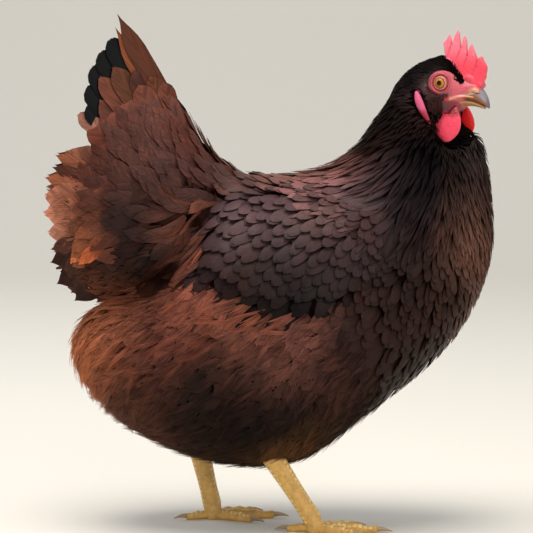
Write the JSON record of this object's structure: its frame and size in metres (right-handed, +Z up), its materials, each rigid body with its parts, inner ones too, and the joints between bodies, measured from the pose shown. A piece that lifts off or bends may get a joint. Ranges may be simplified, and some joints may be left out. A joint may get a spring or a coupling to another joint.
{
  "type": "hen",
  "caption": "Life-size still model of a standing dark mahogany Rhode Island Red hen, head turned to its right, with a single red comb, an upright fan tail and yellow legs.",
  "frame": {"origin": "on the floor, under the middle of the bird's length and width", "axes": "+X the way the hen's body faces, +Y its left side, +Z up"},
  "size_m": [0.3853, 0.1898, 0.4428],
  "materials": {
    "plumage": "soft mahogany feathers",
    "wing_coverts": "close dark mahogany feathers with a silky sheen",
    "hackle": "glossy near-black feathers",
    "tail_feathers": "stiff black feathers with a green gloss",
    "comb": "pebbled bare red skin, satin",
    "earlobe": "soft bare red skin, satin",
    "eye": "wet amber eye, glossy",
    "beak": "horn, satin",
    "leg": "yellow scaled skin, satin",
    "claw": "horn, satin"
  },
  "bodies": {
    "root": {"trunk": "plumage", "thigh_right": "plumage", "thigh_left": "plumage", "tail_coverts": "plumage", "wing_right": "wing_coverts", "wing_left": "wing_coverts", "neck": "hackle", "head": "hackle", "tail_feathers_right": "tail_feathers", "tail_feathers_left": "tail_feathers", "comb": "comb", "wattle_right": "comb", "wattle_left": "comb", "earlobe_right": "earlobe", "earlobe_left": "earlobe", "eye_right": "eye", "eye_left": "eye", "beak_upper": "beak", "beak_lower": "beak", "shank_right": "leg", "shank_left": "leg", "toe_inner_right": "leg", "toe_middle_right": "leg", "toe_outer_right": "leg", "toe_hallux_right": "leg", "toe_inner_left": "leg", "toe_middle_left": "leg", "toe_outer_left": "leg", "toe_hallux_left": "leg", "claw_inner_right": "claw", "claw_middle_right": "claw", "claw_outer_right": "claw", "claw_hallux_right": "claw", "claw_inner_left": "claw", "claw_middle_left": "claw", "claw_outer_left": "claw", "claw_hallux_left": "claw"}
  },
  "joints": []
}
